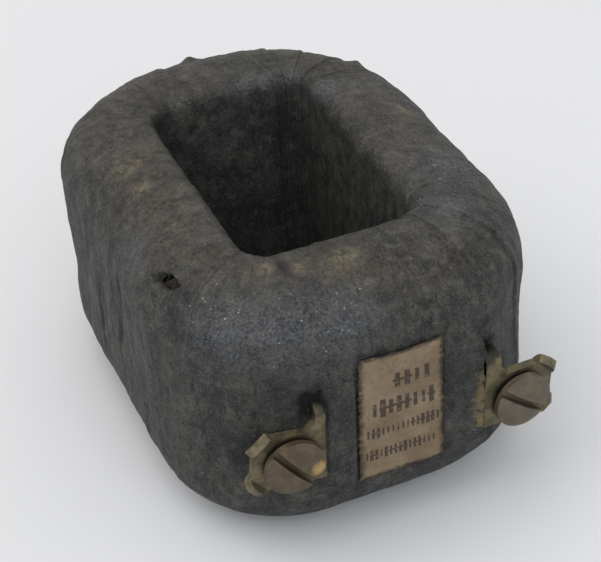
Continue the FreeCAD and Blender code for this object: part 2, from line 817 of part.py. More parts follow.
def pieces():
    """Every piece by its node's name."""
    finish, ground_tape = wraps()
    made = {
        "finish_tape": finish,
        "ground_wrap": ground_tape,
        "former_tube": former_tube(),
        "winding": winding(),
        "end_washer_top": end_washer(True),
        "end_washer_bottom": end_washer(False),
        "cover_sheet": cover_sheet(),
        "label": label(),
    }
    for bank in range(BANK_COUNT - 1):
        made["layer_paper_%d" % (bank + 1)] = layer_paper(bank)
    for place in ("lower", "upper"):
        made["cover_binding_" + place] = cover_binding(place)
    for name, side, bank in (("start_lead", "left", 0), ("finish_lead", "right", BANK_COUNT - 1)):
        made[name] = lead(side, bank)
        made[name + "_strip"] = lead_strip(side, bank)
    for side in TERMINALS:
        made["terminal_plate_" + side] = terminal_plate(side)
        made["terminal_pad_" + side] = terminal_pad(side)
        made["terminal_screw_" + side] = terminal_screw(side)
        made["solder_joint_" + side] = solder_joint(side)
    return made


os.makedirs("parts", exist_ok=True)
for node, shape in pieces().items():
    solids = shape.Solids
    whole = solids[0] if len(solids) == 1 else Part.makeCompound(solids)
    whole.exportStep("parts/" + node + ".step")
    print(node, len(solids), "solid(s)", "valid" if whole.isValid() else "NOT VALID", round(whole.Volume, 1))
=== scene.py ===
"""Tape-wrapped contactor coil on a pale floor, seen from above its terminals."""

import json
import math

import bpy
import numpy as np
from mathutils import Matrix, Vector, noise


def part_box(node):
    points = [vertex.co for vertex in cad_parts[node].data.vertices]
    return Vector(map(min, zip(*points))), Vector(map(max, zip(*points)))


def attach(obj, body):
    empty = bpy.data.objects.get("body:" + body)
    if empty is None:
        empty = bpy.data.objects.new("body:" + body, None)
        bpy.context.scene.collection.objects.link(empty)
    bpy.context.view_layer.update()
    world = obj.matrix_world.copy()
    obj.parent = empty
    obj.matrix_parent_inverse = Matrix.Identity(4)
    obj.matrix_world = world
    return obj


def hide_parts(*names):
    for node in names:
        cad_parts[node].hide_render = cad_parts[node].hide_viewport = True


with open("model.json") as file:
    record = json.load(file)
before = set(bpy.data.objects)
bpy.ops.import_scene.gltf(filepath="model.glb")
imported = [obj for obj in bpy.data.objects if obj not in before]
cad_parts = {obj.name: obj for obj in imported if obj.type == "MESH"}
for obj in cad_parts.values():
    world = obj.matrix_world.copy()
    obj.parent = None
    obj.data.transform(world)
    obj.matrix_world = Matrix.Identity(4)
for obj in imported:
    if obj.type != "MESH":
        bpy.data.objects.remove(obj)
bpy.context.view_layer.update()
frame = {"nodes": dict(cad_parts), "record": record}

MM = 0.001
IMAGE_WIDTH = 601
SENSOR = 36.0

# Camera, in millimetres and degrees, in the row's frame
CAMERA_AT = Vector((-80.04, -205.08, 186.71))
CAMERA_AIM = Vector((3.06, -0.22, 19.82))
CAMERA_ROLL = -2.65
FOCAL_PIXELS = 1698.2

# Wrapped coil, in millimetres
WINDOW = {"x": 26.9, "y": 43.7}
WINDOW_CORNER = 4.0
HEIGHT = 45.0
BUILD = {"left": 15.3, "front": 16.065, "right": 17.82, "back": 18.51}
CORNER_RADII = {"front_left": 20.4, "front_right": 21.8, "back_right": 26.0, "back_left": 22.0}
RIM = 3.5
LOW_RIM = 2.5
EDGE = 11.0
LOW_EDGE = 12.0
FRONT_Y = -WINDOW["y"] / 2 - BUILD["front"]
CORNERS = {
    "front_left": ("left", "front", -1, -1, 180.0),
    "front_right": ("right", "front", 1, -1, 270.0),
    "back_right": ("right", "back", 1, 1, 0.0),
    "back_left": ("left", "back", -1, 1, 90.0),
}

# Mesh of the tape: columns round the ring and samples along each stretch of a section
COLUMNS = 650
BOTTOM_SAMPLES = 3
LOW_EDGE_SAMPLES = 24
WALL_SAMPLES = 30
EDGE_SAMPLES = 28
TOP_SAMPLES = 3
RIM_SAMPLES = 10
WINDOW_SAMPLES = 38
LOW_RIM_SAMPLES = 8

# Laps of the tape
LAPS = 26
LAP_PHASE = 0.35
LAP_STEP = 0.28
LAP_STEP_IN_WINDOW = 0.12
SEED = 7

# Terminals and label, in millimetres
SLITS = {"left": -9.8, "right": 15.2}
OUT = {"left": -1, "right": 1}
WELT_FEET = {"left": -4.9, "right": 9.47}
WELT_FACE = {"slit": -39.5, "foot": -39.1}
WELT_Z = (13.3, 28.6)
TANG_Z = {"left": 27.2, "right": 26.4}
LABEL_X = (-4.9, 9.1)
LABEL_Z = (10.9, 34.2)


def make_camera():
    """Camera at the photograph's place, with its roll."""
    data = bpy.data.cameras.new("camera")
    data.sensor_width = SENSOR
    data.lens = FOCAL_PIXELS / IMAGE_WIDTH * SENSOR
    data.clip_start = 0.01
    data.clip_end = 20.0
    camera = bpy.data.objects.new("camera", data)
    bpy.context.collection.objects.link(camera)
    back = (CAMERA_AT - CAMERA_AIM).normalized()
    right = Vector((0, 0, 1)).cross(back).normalized()
    up = back.cross(right)
    roll = math.radians(CAMERA_ROLL)
    turned_right = right * math.cos(roll) + up * math.sin(roll)
    turned_up = up * math.cos(roll) - right * math.sin(roll)
    turn = Matrix((turned_right, turned_up, back)).transposed()
    camera.matrix_world = Matrix.Translation(CAMERA_AT * MM) @ turn.to_4x4()
    bpy.context.scene.camera = camera


make_camera()


class Nodes:
    """Short forms for the nodes of one material."""

    def __init__(self, name):
        self.material = bpy.data.materials.new(name)
        self.material.use_nodes = True
        self.tree = self.material.node_tree
        self.shader = self.tree.nodes["Principled BSDF"]
        self.object_place = self.tree.nodes.new("ShaderNodeTexCoord").outputs["Object"]
        self.uv_place = self.object_place.node.outputs["UV"]

    def add(self, kind, **settings):
        node = self.tree.nodes.new(kind)
        for key, value in settings.items():
            setattr(node, key, value)
        return node

    def link(self, value, socket):
        if hasattr(value, "is_linked"):
            self.tree.links.new(value, socket)
        else:
            socket.default_value = value

    def scaled(self, place, scale, shift=(0, 0, 0)):
        node = self.add("ShaderNodeMapping")
        self.link(place, node.inputs["Vector"])
        node.inputs["Scale"].default_value = scale
        node.inputs["Location"].default_value = shift
        return node.outputs["Vector"]

    def noise(self, place, scale, detail=3.0, rough=0.55, distortion=0.0):
        node = self.add("ShaderNodeTexNoise")
        self.link(place, node.inputs["Vector"])
        node.inputs["Scale"].default_value = scale
        node.inputs["Detail"].default_value = detail
        node.inputs["Roughness"].default_value = rough
        node.inputs["Distortion"].default_value = distortion
        return node.outputs["Fac"]

    def math(self, operation, a, b=0.0, clamp=False):
        node = self.add("ShaderNodeMath", operation=operation, use_clamp=clamp)
        self.link(a, node.inputs[0])
        self.link(b, node.inputs[1])
        return node.outputs[0]

    def scale_by(self, value, factor, base=0.0):
        """The value times a factor, plus a base."""
        return self.math("ADD", self.math("MULTIPLY", value, factor), base)

    def step(self, value, low, high):
        """0 below low and 1 above high, smooth between; the other way round if high is less."""
        node = self.add("ShaderNodeMapRange", interpolation_type="SMOOTHSTEP")
        self.link(value, node.inputs["Value"])
        node.inputs["From Min"].default_value = min(low, high)
        node.inputs["From Max"].default_value = max(low, high)
        node.inputs["To Min"].default_value = 0.0 if low < high else 1.0
        node.inputs["To Max"].default_value = 1.0 if low < high else 0.0
        return node.outputs["Result"]

    def mix(self, fac, a, b):
        node = self.add("ShaderNodeMix", data_type="RGBA")
        self.link(fac, node.inputs["Factor"])
        self.link(a, node.inputs["A"])
        self.link(b, node.inputs["B"])
        return node.outputs["Result"]

    def spot(self, centre, radius, soft=0.3, ragged=0.4, scale=900.0):
        """Mask round a point in millimetres, with a ragged edge."""
        node = self.add("ShaderNodeVectorMath", operation="DISTANCE")
        self.link(self.object_place, node.inputs[0])
        node.inputs[1].default_value = Vector(centre) * MM
        uneven = self.math("SUBTRACT", self.noise(self.object_place, scale, 3.0), 0.5)
        rough = self.math("MULTIPLY", uneven, ragged)
        share = self.math("ADD", self.math("DIVIDE", node.outputs["Value"], radius * MM), rough)
        return self.step(share, 1.0 + soft, 1.0 - soft)

    def bump(self, height, strength, distance):
        node = self.add("ShaderNodeBump")
        node.inputs["Strength"].default_value = strength
        node.inputs["Distance"].default_value = distance
        self.link(height, node.inputs["Height"])
        self.tree.links.new(node.outputs["Normal"], self.shader.inputs["Normal"])
        return node

    def finish(self, colour, roughness, metallic=0.0, specular=0.5):
        self.link(colour, self.shader.inputs["Base Color"])
        self.link(roughness, self.shader.inputs["Roughness"])
        self.shader.inputs["Metallic"].default_value = metallic
        self.shader.inputs["Specular IOR Level"].default_value = specular
        return self.material


def rgb(red, green, blue):
    """Linear colour from 0 to 255 screen values."""
    parts = []
    for value in (red, green, blue):
        share = value / 255
        parts.append(share / 12.92 if share <= 0.04045 else ((share + 0.055) / 1.055) ** 2.4)
    return (*parts, 1.0)


# Frayed golden cloth up the right slit: its place, and the height and radius of each tuft, in millimetres
BARE_CLOTH_AT = (15.2, -39.4)
BARE_CLOTH = ((24.6, 0.9), (22.9, 0.7), (21.2, 1.1), (19.0, 0.9), (17.2, 0.8), (15.6, 0.6))


def tape_material():
    """Sooty varnished cotton: crossed threads, dust on top and tan worn spots, with painted shade in its
    creases and hollows, a painted cool sheen and small painted glints.
    """
    n = Nodes("cotton_tape")
    cloth = n.uv_place
    threads = n.noise(n.scaled(cloth, (3.6, 2.2, 1)), 1.0, 4.0, 0.75)
    picks = n.noise(n.scaled(cloth, (2.0, 3.4, 1), (3.0, 1.0, 0)), 1.0, 4.0, 0.75)
    grain = n.math("ADD", n.math("MULTIPLY", threads, 0.6), n.math("MULTIPLY", picks, 0.4))
    streaks = n.noise(n.scaled(cloth, (0.7, 0.09, 1), (9.0, 2.0, 0)), 1.0, 5.0, 0.65)
    fine = n.noise(n.object_place, 2300.0, 4.0, 0.8)
    blotch = n.noise(n.object_place, 170.0, 7.0, 0.7)
    broad = n.noise(n.object_place, 34.0, 3.0, 0.55)
    soot = n.mix(n.step(blotch, 0.36, 0.64), rgb(31, 31, 32), rgb(75, 73, 68))
    soot = n.mix(n.math("MULTIPLY", n.step(streaks, 0.48, 0.68), 0.5), soot, rgb(88, 84, 76))
    soot = n.mix(n.math("MULTIPLY", n.step(streaks, 0.48, 0.34), 0.6), soot, rgb(24, 24, 25))
    soot = n.mix(n.math("MULTIPLY", n.step(grain, 0.44, 0.62), 0.45), soot, rgb(106, 102, 94))
    soot = n.mix(n.math("MULTIPLY", n.step(fine, 0.57, 0.42), 0.6), soot, rgb(22, 22, 23))
    mottle = n.noise(n.object_place, 430.0, 6.0, 0.8)
    soot = n.mix(n.math("MULTIPLY", n.step(mottle, 0.52, 0.64), 0.45), soot, rgb(104, 101, 94))
    soot = n.mix(n.math("MULTIPLY", n.step(mottle, 0.48, 0.37), 0.65), soot, rgb(20, 20, 21))
    geometry = n.add("ShaderNodeNewGeometry")
    split = n.add("ShaderNodeSeparateXYZ")
    n.link(geometry.outputs["Normal"], split.inputs["Vector"])
    upward = n.step(split.outputs["Z"], 0.35, 0.98)
    dust = n.math("MULTIPLY", upward, n.step(broad, 0.3, 0.62))
    dust = n.math("MULTIPLY", dust, n.step(n.noise(n.object_place, 800.0, 5.0, 0.8), 0.42, 0.6))
    colour = n.mix(n.math("MULTIPLY", dust, 0.5), soot, rgb(98, 86, 68))
    wear = n.add("ShaderNodeAttribute", attribute_name="tape_wear")
    flecked = n.step(n.noise(n.object_place, 900.0, 4.0, 0.75), 0.42, 0.56)
    tan = n.math("MULTIPLY", wear.outputs["Fac"], n.scale_by(flecked, 0.8, 0.08))
    colour = n.mix(tan, colour, rgb(132, 119, 93))
    for level, radius in BARE_CLOTH:
        bare = n.spot((*BARE_CLOTH_AT, level), radius, 0.5, 4.0, 1100.0)
        colour = n.mix(n.math("MULTIPLY", bare, 0.75), colour, rgb(128, 108, 74))
    # Painted shade in creases, hollows, the tear and round the terminals, with a dark bar on the near rim
    dark = n.add("ShaderNodeAttribute", attribute_name="tape_painted_shade_and_bar")
    colour = n.mix(dark.outputs["Fac"], colour, rgb(15, 14, 14))
    # Painted sheen: a cool varnish reflection on the rounded edges and the far rim
    painted_sheen = n.add("ShaderNodeAttribute", attribute_name="tape_painted_sheen")
    film = n.step(n.noise(n.object_place, 2400.0, 4.0, 0.85), 0.42, 0.62)
    cool = n.math("MULTIPLY", painted_sheen.outputs["Fac"], film)
    colour = n.mix(n.math("MULTIPLY", cool, 0.55), colour, rgb(112, 117, 127))
    # Painted glints: small pale highlights, most of them where the sheen is painted
    glint = n.add("ShaderNodeTexVoronoi", feature="F1")
    n.link(n.object_place, glint.inputs["Vector"])
    glint.inputs["Scale"].default_value = 1700.0
    rare = n.step(n.noise(n.object_place, 800.0, 2.0, 0.6), 0.56, 0.66)
    painted_glint = n.math("MULTIPLY", n.step(glint.outputs["Distance"], 0.26, 0.1), rare)
    painted_glint = n.math("MULTIPLY", painted_glint, n.scale_by(painted_sheen.outputs["Fac"], 0.7, 0.22))
    colour = n.mix(painted_glint, colour, rgb(196, 204, 216))
    rough = n.scale_by(n.step(grain, 0.7, 0.3), 0.25, 0.45)
    relief = n.math("ADD", n.math("MULTIPLY", grain, 0.8), n.math("MULTIPLY", fine, 0.6))
    relief = n.math("ADD", relief, n.math("MULTIPLY", blotch, 0.8))
    n.bump(relief, 0.8, 0.0005)
    return n.finish(colour, rough, specular=0.35)


def paper_material(name, light, dark, scale=300.0):
    """Plain insulating paper, board or cloth with flecks."""
    n = Nodes(name)
    fleck = n.noise(n.object_place, scale, 5.0, 0.7)
    n.bump(fleck, 0.35, 0.0002)
    return n.finish(n.mix(n.step(fleck, 0.3, 0.7), dark, light), 0.75)


def metal_material(name, light, dark, tarnish, roughness, scale=500.0):
    """Dull metal with tarnish in blotches and fine scratches."""
    n = Nodes(name)
    blotch = n.noise(n.object_place, scale, 5.0, 0.65, 0.4)
    fine = n.noise(n.object_place, scale * 5, 4.0, 0.7)
    colour = n.mix(n.step(blotch, 0.38, 0.62), dark, light)
    colour = n.mix(n.math("MULTIPLY", n.step(fine, 0.5, 0.75), 0.6), colour, tarnish)
    n.bump(n.math("ADD", blotch, n.math("MULTIPLY", fine, 0.6)), 0.3, 0.00012)
    return n, colour, n.scale_by(blotch, 0.25, roughness)


def plain_metal(name, light, dark, tarnish, roughness):
    """Dull metal with nothing more on it."""
    n, colour, rough = metal_material(name, light, dark, tarnish, roughness)
    return n.finish(colour, rough, metallic=0.9)


# Tint of each screw head, and how dark the painted shade is on its plate's tang where it goes into the
# tape
HEAD_TINTS = {"left": rgb(86, 70, 58), "right": rgb(104, 92, 84)}
TANG_SHADE = {"left": 0.5, "right": 0.85}


def brass_material():
    """Old brass: brown and greenish patina, with a rubbed golden spot on one screw, and painted shade on
    the tangs where they go into the tape and in the hollows.
    """
    light, dark, tarnish = rgb(128, 116, 88), rgb(92, 85, 66), rgb(68, 70, 56)
    n, colour, rough = metal_material("aged_brass", light, dark, tarnish, 0.36)
    for side in ("left", "right"):
        low, high = (Vector(corner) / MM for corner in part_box("terminal_screw_" + side))
        head = n.spot(((low.x + high.x) / 2, low.y + 0.6, (low.z + high.z) / 2), 4.9, 0.05, 0.0)
        colour = n.mix(n.math("MULTIPLY", head, 0.6), colour, HEAD_TINTS[side])
        # Painted shade on each tang where it goes into the tape
        tang_shade = n.spot((SLITS[side] + 1.2 * OUT[side], -37.4, TANG_Z[side] + 1.2), 2.6, 0.3, 0.6)
        colour = n.mix(n.math("MULTIPLY", tang_shade, TANG_SHADE[side]), colour, rgb(30, 29, 27))
    low, high = (Vector(corner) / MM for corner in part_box("terminal_screw_left"))
    rubbed = n.spot((high.x - 1.3, low.y + 0.9, low.z + 3.8), 1.2, 0.5, 1.2, 1400.0)
    colour = n.mix(n.math("MULTIPLY", rubbed, 0.85), colour, rgb(196, 164, 104))
    # Painted shade in the slots and other hollows of the brass
    painted_hollow_shade = n.add("ShaderNodeAmbientOcclusion")
    painted_hollow_shade.inputs["Distance"].default_value = 1.2 * MM
    colour = n.mix(n.step(painted_hollow_shade.outputs["AO"], 0.75, 0.25), colour, rgb(26, 25, 20))
    return n.finish(colour, rough, metallic=0.55)


# Rows of strokes on the label: height of the middle, half height, first, last and number of cells
LABEL_STROKES = (
    (0.755, 0.07, 0.4, 0.86, 4),
    (0.555, 0.072, 0.14, 0.9, 8),
    (0.365, 0.045, 0.08, 0.95, 15),
    (0.185, 0.045, 0.06, 0.9, 15),
)


def strokes(n, across, up, middle, half, first, last, cells):
    """Mask of one row of plain upright bars of uneven width and height, with worn ends."""
    run = n.math("MULTIPLY", n.math("SUBTRACT", across, first), cells / (last - first))
    cell = n.math("FLOOR", run)
    random = n.add("ShaderNodeTexWhiteNoise", noise_dimensions="1D")
    n.link(n.math("ADD", cell, middle * 50), random.inputs["W"])
    height = n.math("MULTIPLY", n.scale_by(random.outputs["Value"], 0.45, 0.6), half)
    level = n.math("ABSOLUTE", n.math("SUBTRACT", up, middle))
    tall = n.math("LESS_THAN", level, height)
    row = n.math("LESS_THAN", level, half * 0.14)
    begun = n.math("GREATER_THAN", across, first)
    inside = n.math("MULTIPLY", begun, n.math("LESS_THAN", across, last))
    width = n.scale_by(random.outputs["Value"], 0.2, 0.16)
    bar = n.math("LESS_THAN", n.math("ABSOLUTE", n.math("SUBTRACT", n.math("FRACT", run), 0.5)), width)
    linked = n.math("MULTIPLY", row, n.math("GREATER_THAN", random.outputs["Value"], 0.45))
    return n.math("MULTIPLY", inside, n.math("MAXIMUM", n.math("MULTIPLY", tall, bar), linked))


def label_material():
    """Stained tan paper, dirty at its edges, with rows of faded ink strokes that spell nothing."""
    n = Nodes("label_paper")
    place = n.uv_place
    split = n.add("ShaderNodeSeparateXYZ")
    n.link(place, split.inputs["Vector"])
    across = split.outputs["X"]
    up = split.outputs["Y"]
    stain = n.noise(n.object_place, 160.0, 4.0, 0.6)
    fleck = n.noise(n.object_place, 1700.0, 4.0, 0.7)
    colour = n.mix(n.step(stain, 0.35, 0.7), rgb(118, 100, 78), rgb(140, 122, 98))
    colour = n.mix(n.math("MULTIPLY", n.step(fleck, 0.5, 0.7), 0.5), colour, rgb(92, 76, 58))
    ragged = n.math("MULTIPLY", n.math("SUBTRACT", n.noise(n.object_place, 700.0, 4.0, 0.7), 0.5), 0.16)
    inward_x = n.math("SUBTRACT", 0.5, n.math("ABSOLUTE", n.math("SUBTRACT", across, 0.5)))
    edge = n.step(n.math("ADD", inward_x, ragged), 0.09, 0.0)
    inward_y = n.math("SUBTRACT", 0.5, n.math("ABSOLUTE", n.math("SUBTRACT", up, 0.5)))
    edge_y = n.step(n.math("ADD", inward_y, n.math("MULTIPLY", ragged, 0.5)), 0.035, 0.0)
    dirt = n.math("MAXIMUM", edge, edge_y)
    colour = n.mix(n.math("MULTIPLY", dirt, 0.9), colour, rgb(44, 37, 31))
    worn = n.step(n.noise(n.object_place, 1300.0, 3.0, 0.7), 0.3, 0.5)
    for row in LABEL_STROKES:
        ink = n.math("MULTIPLY", strokes(n, across, up, *row), n.scale_by(worn, 0.65, 0.2))
        colour = n.mix(ink, colour, rgb(52, 42, 40))
    n.bump(n.math("ADD", fleck, stain), 0.3, 0.00015)
    return n.finish(colour, 0.7, specular=0.3)


MATERIALS = {
    "cotton_tape": tape_material(),
    "varnished_cambric": paper_material("varnished_cambric", rgb(52, 41, 28), rgb(26, 21, 16), 700.0),
    "pressboard": paper_material("pressboard", rgb(142, 112, 78), rgb(104, 80, 54)),
    "insulating_paper": paper_material("insulating_paper", rgb(150, 128, 88), rgb(92, 72, 46)),
    "aged_brass": brass_material(),
    "label_paper": label_material(),
    "copper_wire": plain_metal("copper_wire", rgb(170, 98, 62), rgb(112, 60, 38), rgb(80, 44, 30), 0.35),
    "solder": plain_metal("solder", rgb(140, 140, 138), rgb(90, 90, 90), rgb(70, 68, 64), 0.4),
}

# Easing of the brass edges, in millimetres and degrees
EASING = 0.12
EASED_ANGLE = 35


def dress_nodes():
    """Gives every CAD node the material of its slot, and eases the edges of the metal ones."""
    for part in frame["record"]["subparts"]:
        node = frame["nodes"][part["node"]]
        slots = node.data.materials
        slots.clear()
        slots.append(MATERIALS[part["material_slot"]])
        if part["material_slot"] == "aged_brass":
            bevel = node.modifiers.new("eased", "BEVEL")
            bevel.width = EASING * MM
            bevel.segments = 2
            bevel.limit_method = "ANGLE"
            bevel.angle_limit = math.radians(EASED_ANGLE)


def polar(angle):
    return np.array([math.cos(math.radians(angle)), math.sin(math.radians(angle))])


def corner_centre(corner, build, radius):
    """Centre of a rounded corner of the outline that stands off the window by the builds."""
    side, end, sign_x, sign_y = CORNERS[corner][:4]
    half_x = WINDOW["x"] / 2 + build[side]
    half_y = WINDOW["y"] / 2 + build[end]
    return np.array([sign_x * (half_x - radius), sign_y * (half_y - radius)])


def ring_path(columns):
    """Points on the window's wall and on the outer wall, evenly spaced round the outside."""
    nothing = {side: 0.0 for side in BUILD}
    inner = []
    outer = []
    for corner, radius in CORNER_RADII.items():
        start = CORNERS[corner][4]
        inner_centre = corner_centre(corner, nothing, WINDOW_CORNER)
        outer_centre = corner_centre(corner, BUILD, radius)
        for angle in np.linspace(start, start + 90, 91):
            inner.append(inner_centre + polar(angle) * WINDOW_CORNER)
            outer.append(outer_centre + polar(angle) * radius)
    inner = np.array(inner + inner[:1])
    outer = np.array(outer + outer[:1])
    steps = np.linalg.norm(np.diff(outer, axis=0), axis=1)
    run = np.concatenate([[0.0], np.cumsum(steps)])
    at = np.arange(columns) / columns * run[-1]
    spaced = []
    for line in (inner, outer):
        spaced.append(np.stack([np.interp(at, run, line[:, axis]) for axis in (0, 1)], axis=1))
    return spaced[0], spaced[1], at, run[-1]


def arc(centre, radius, start, samples):
    """Places and normals of a quarter turn in a section, its last point left out."""
    turns = np.radians(start + 90 * np.arange(samples) / samples)
    normal = np.stack([np.cos(turns), np.sin(turns)], axis=1)
    return np.array(centre) + radius * normal, normal


def straight(first, last, normal, samples):
    share = (np.arange(samples) / samples)[:, None]
    return np.array(first) * (1 - share) + np.array(last) * share, np.tile(normal, (samples, 1))


def section(length):
    """Closed outline across the coil: distance from the window, height, and the outward normal."""
    top = HEIGHT
    runs = [
        straight((LOW_RIM, 0), (length - LOW_EDGE, 0), (0, -1), BOTTOM_SAMPLES),
        arc((length - LOW_EDGE, LOW_EDGE), LOW_EDGE, 270, LOW_EDGE_SAMPLES),
        straight((length, LOW_EDGE), (length, top - EDGE), (1, 0), WALL_SAMPLES),
        arc((length - EDGE, top - EDGE), EDGE, 0, EDGE_SAMPLES),
        straight((length - EDGE, top), (RIM, top), (0, 1), TOP_SAMPLES),
        arc((RIM, top - RIM), RIM, 90, RIM_SAMPLES),
        straight((0, top - RIM), (0, LOW_RIM), (-1, 0), WINDOW_SAMPLES),
        arc((LOW_RIM, LOW_RIM), LOW_RIM, 180, LOW_RIM_SAMPLES),
    ]
    return np.concatenate([run[0] for run in runs]), np.concatenate([run[1] for run in runs])


def smooth(value, low, high):
    share = np.clip((value - low) / (high - low), 0.0, 1.0)
    return share * share * (3 - 2 * share)


def field(points, scale, octaves=3, shift=0.0):
    """Smooth noise at every point, from about -1 to 1."""
    flat = points.reshape(-1, 3) * scale + shift
    values = [noise.fractal(Vector(point), 1.0, 2.0, octaves) for point in flat]
    return np.array(values).reshape(points.shape[:-1])


def near(points, centre, radius):
    """Bell round a place in millimetres."""
    gap = np.linalg.norm(points - np.array(centre), axis=-1)
    return np.exp(-((gap / radius) ** 2))


def lap_relief(points, around, upward, inside):
    """Step, groove and selvedge of every lap of tape, with each lap a little different, and a mask for
    painted shade along the lap edges.
    """
    generator = np.random.default_rng(SEED)
    wobble = field(points, 0.09, 2, 11.0) * 0.09
    phase = around * LAPS + upward + LAP_PHASE + wobble
    lap = np.floor(phase).astype(int) % LAPS
    share = phase - np.floor(phase)
    weight = (generator.uniform(0.1, 1.0, LAPS) ** 1.4)[lap]
    offset = generator.uniform(-0.07, 0.07, LAPS)[lap]
    step = LAP_STEP * (1 - inside) + LAP_STEP_IN_WINDOW * inside
    groove = -0.2 * np.exp(-((share / 0.03) ** 2)) - 0.12 * np.exp(-(((1 - share) / 0.035) ** 2))
    selvedge = 0.09 * np.exp(-(((share - 0.06) / 0.04) ** 2))
    shade = np.exp(-((share / 0.022) ** 2)) + np.exp(-(((1 - share) / 0.022) ** 2))
    return (step * (1 - share) + groove + selvedge) * weight + offset, shade * weight


def welt_relief(points, front):
    """Tape lifted by the plate's inner side, and its cut edge at each slit."""
    x = points[..., 0]
    z = points[..., 2]
    high = smooth(z, WELT_Z[0] - 4, WELT_Z[0]) * (1 - smooth(z, WELT_Z[1], WELT_Z[1] + 5))
    lift = np.zeros_like(x)
    for side, slit in SLITS.items():
        share = (x - slit) / (WELT_FEET[side] - slit)
        face = WELT_FACE["slit"] + (WELT_FACE["foot"] - WELT_FACE["slit"]) * share
        under = (share > 0) & (share < 1)
        lift += np.where(under, points[..., 1] - face, 0.0) * high * front
    return lift


def hole_relief(points, front):
    """Hollows where each tang goes back through the tape, as a mask that also paints shade into them."""
    x = points[..., 0]
    z = points[..., 2]
    depth = np.zeros_like(x)
    ragged = field(points, 1.1, 2, 5.0) * 0.5
    for side, slit in SLITS.items():
        outward = (x - slit) * OUT[side] + ragged
        above = z - TANG_Z[side] + ragged
        across = smooth(outward, -0.6, 0.1) * (1 - smooth(outward, 2.6, 3.6))
        depth += across * smooth(above, -2.5, -1.0) * (1 - smooth(above, 2.4, 4.0)) * front
    return np.clip(depth, 0, 1)


TEAR_AROUND = 187.0
TEAR_UP = 48.0
TEAR_HALF = (2.9, 0.95)
THREADS = ((-1.5, 0.5, 0.25), (-0.5, -0.3, 0.1), (0.5, 0.6, 0.3), (1.4, -0.4, 0.2), (0.1, 0.9, 0.35))
THREAD_POINTS = 7

# Lines on the tape, each from one place to another with its half width: folded seams, with painted shade
# along their folds, and light threads
SEAMS = (
    ((-25.6, 18.0, 40.5), (-25.2, -3.0, 41.6), 0.7),
    ((-28.9, 4.0, 33.0), (-28.9, 7.0, 10.0), 0.5),
    ((-28.9, -6.0, 38.0), (-28.9, -3.0, 8.0), 0.6),
    ((-27.6, -17.0, 38.0), (-28.4, -14.0, 8.0), 0.5),
    ((10.3, -38.6, 33.5), (10.1, -38.2, 9.0), 0.4),
    ((11.9, -38.9, 34.0), (11.6, -38.6, 12.0), 0.3),
    ((13.5, -39.0, 33.0), (13.4, -38.9, 14.0), 0.35),
)
BRIGHT_THREADS = (
    ((-28.9, 8.1, 32.0), (-28.9, 12.0, 12.0), 0.3),
    ((-28.9, -9.2, 34.0), (-28.9, -6.4, 12.0), 0.3),
    ((-28.8, 0.6, 30.0), (-28.8, 3.4, 9.0), 0.25),
)

# Soft spots on the tape, each a place with its radius: painted shade round the terminals, tan wear and
# painted cool sheen of the varnish
PAINTED_SHADE_SPOTS = (
    ((-13.5, -37.6, 30.0), 4.0),
    ((-6.5, -38.2, 24.0), 4.5),
    ((11.5, -38.5, 26.0), 4.5),
    ((-20.0, -35.5, 20.0), 5.0),
)
WEAR_SPOTS = (
    ((-12.2, -26.2, 45), 1.9),
    ((-9.0, -27.8, 45), 1.5),
    ((-2.8, -29.4, 45), 2.0),
    ((-0.6, -28.6, 45), 1.6),
    ((-21.8, 7.7, 45), 2.2),
    ((-21.6, 1.2, 45), 1.8),
    ((24.0, 4.0, 44), 1.8),
)
PAINTED_SHEEN_SPOTS = (
    ((-21.0, -30.0, 40.0), 5.0),
    ((-14.0, -34.5, 40.5), 5.0),
    ((-5.0, -36.5, 40.5), 5.0),
    ((4.0, 22.4, 43.8), 1.6),
    ((8.0, 22.4, 43.8), 1.6),
    ((12.0, 22.2, 43.8), 1.6),
    ((-25.5, -9.0, 40.0), 3.0),
    ((17.0, -24.0, 44.5), 4.0),
    ((22.5, -15.0, 44.0), 4.5),
    ((15.5, 15.0, 44.5), 2.5),
)

# Heights of the relief, in millimetres out of the tape
WRINKLE = 0.13
LUMP = 0.55
SMALL_LUMP = 0.12
LABEL_BED = 0.1
HOLLOW = 0.8
FLAP = 1.3
KNOB = 1.0
TAB = 0.8
SEAM = 0.3
SEAM_EASED_ON_WELT = 0.18
TEAR_LIP = 0.3
TEAR_SINK = 0.8
RIM_CREASE = 0.65


def tear_frame():
    """Centre of the tear, and the ways along and across it."""
    centre = corner_centre("front_left", BUILD, CORNER_RADII["front_left"])
    way = polar(TEAR_AROUND)
    up = math.radians(TEAR_UP)
    reach = CORNER_RADII["front_left"] - EDGE + EDGE * math.cos(up)
    middle = Vector((*(centre + way * reach), HEIGHT - EDGE + EDGE * math.sin(up)))
    normal = Vector((way[0] * math.cos(up), way[1] * math.cos(up), math.sin(up)))
    along = Vector((0, 0, 1)).cross(normal).normalized()
    turn = Matrix.Rotation(math.radians(12), 3, normal)
    along = turn @ along
    return middle, along, normal.cross(along), normal


def tear_mask(points, grow):
    """1 inside the tear, whose outline is grown by a factor, and 0 outside it."""
    middle, along, across, normal = tear_frame()
    offset = points - np.array(middle)
    u = offset @ np.array(along)
    v = offset @ np.array(across)
    ragged = field(points, 0.9, 2, 3.0) * 0.25
    reach = np.sqrt((u / TEAR_HALF[0]) ** 2 + (v / TEAR_HALF[1]) ** 2) / grow + ragged
    return np.where(np.abs(offset @ np.array(normal)) < 3, 1 - smooth(reach, 0.8, 1.1), 0.0)


